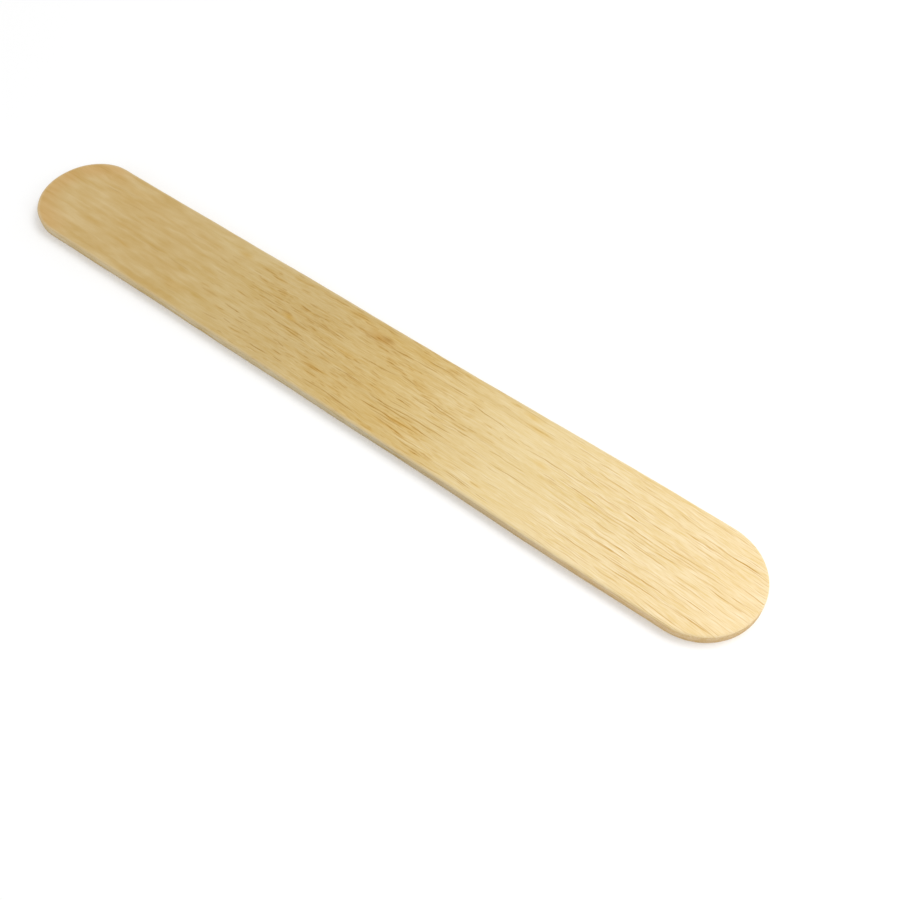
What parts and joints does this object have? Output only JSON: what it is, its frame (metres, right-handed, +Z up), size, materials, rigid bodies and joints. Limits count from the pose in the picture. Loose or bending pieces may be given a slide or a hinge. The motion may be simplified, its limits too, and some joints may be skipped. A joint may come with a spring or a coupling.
{
  "type": "tongue depressor",
  "caption": "Flat wooden blade with parallel sides, full-round ends and eased edges, for pressing down the tongue.",
  "frame": {"origin": "middle of the under face, which the blade lies on", "axes": "+X along the blade, +Y across its width, +Z up through its thickness"},
  "size_m": [0.15, 0.019, 0.002],
  "materials": {
    "bare_wood": "bare sanded veneer, straight fine grain, no varnish"
  },
  "bodies": {
    "root": {"blade": "bare_wood"}
  },
  "joints": []
}
